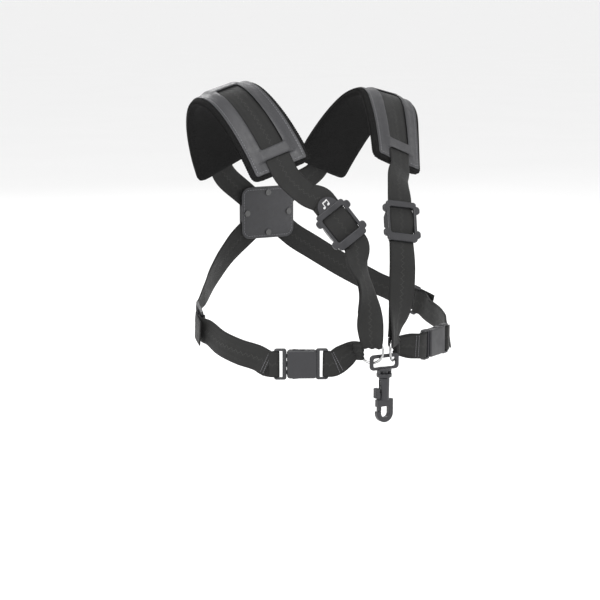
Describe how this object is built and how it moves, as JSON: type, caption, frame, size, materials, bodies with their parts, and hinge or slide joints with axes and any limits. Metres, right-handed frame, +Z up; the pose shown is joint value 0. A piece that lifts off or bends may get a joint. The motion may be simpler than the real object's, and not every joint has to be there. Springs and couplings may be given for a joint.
{
  "type": "saxophone harness",
  "caption": "Worn saxophone harness: padded shoulder straps crossing on the back, under-arm straps with side-release buckles, front sliders and a swivel snap hook on chest rings.",
  "frame": {"origin": "on the wearer's centre line at shoulder height, midway between the undersides of the two shoulder pads; the wearer's shoulders hold it there", "axes": "+Z up; the wearer faces -Y; +X is the wearer's left"},
  "size_m": [0.277, 0.2423, 0.3264],
  "materials": {
    "webbing": "woven nylon webbing, slight sheen",
    "mesh": "ribbed spacer mesh",
    "foam": "closed-cell foam",
    "leather": "smooth dark grey leather, satin, stitched edges",
    "plastic": "moulded acetal, satin",
    "ring_metal": "polished nickel",
    "emblem_metal": "satin silver"
  },
  "bodies": {
    "harness": {"right_pad_foam": "foam", "right_pad_cover": "mesh", "right_pad_panel": "leather", "right_main_strap": "webbing", "right_return_strap": "webbing", "right_ring": "ring_metal", "right_front_belt_strap": "webbing", "right_buckle_female": "plastic", "right_side_strap": "webbing", "right_rear_slider": "plastic", "left_pad_foam": "foam", "left_pad_cover": "mesh", "left_pad_panel": "leather", "left_main_strap": "webbing", "left_return_strap": "webbing", "left_ring": "ring_metal", "left_front_belt_strap": "webbing", "left_buckle_female": "plastic", "left_side_strap": "webbing", "left_rear_slider": "plastic", "cross_patch_outer": "leather", "cross_patch_inner": "leather", "cross_rivets": "ring_metal"},
    "right_slider": {"right_front_slider": "plastic", "slider_emblem": "emblem_metal"},
    "left_slider": {"left_front_slider": "plastic"},
    "right_plug": {"right_buckle_male": "plastic", "right_buckle_arms": "plastic"},
    "left_plug": {"left_buckle_male": "plastic", "left_buckle_arms": "plastic"},
    "hook_eye": {"swivel_eye": "plastic"},
    "hook": {"hook_body": "plastic", "latch_spring": "ring_metal"},
    "latch": {"latch_bolt": "plastic"}
  },
  "joints": [
    {"name": "right_slider_slide", "type": "slide", "parent": "harness", "child": "right_slider", "axis": [-0.5001, 0.3651, 0.7852], "range_m": [-0.005, 0.013], "deforming": ["right_return_strap"]},
    {"name": "left_slider_slide", "type": "slide", "parent": "harness", "child": "left_slider", "axis": [0.194, 0.397, 0.8971], "range_m": [-0.005, 0.013], "deforming": ["left_return_strap"]},
    {"name": "right_buckle_release", "type": "slide", "parent": "harness", "child": "right_plug", "axis": [-0.88, 0.475, 0], "range_m": [0, 0.022], "deforming": ["right_side_strap", "right_buckle_arms"]},
    {"name": "left_buckle_release", "type": "slide", "parent": "harness", "child": "left_plug", "axis": [0.88, 0.475, 0], "range_m": [0, 0.022], "deforming": ["left_side_strap", "left_buckle_arms"]},
    {"name": "hook_swing", "type": "hinge", "parent": "harness", "child": "hook_eye", "pos_m": [0, -0.143, -0.235], "axis": [-1, 0, 0], "range_deg": [-5, 75]},
    {"name": "hook_swivel", "type": "hinge", "parent": "hook_eye", "child": "hook", "pos_m": [0, -0.143, -0.235], "axis": [0, 0, 1], "continuous": true},
    {"name": "latch_slide", "type": "slide", "parent": "hook", "child": "latch", "axis": [0, 0, 1], "range_m": [0, 0.008], "stiffness_N_per_m": 150, "springref_m": -0.002, "deforming": ["latch_spring"]}
  ]
}
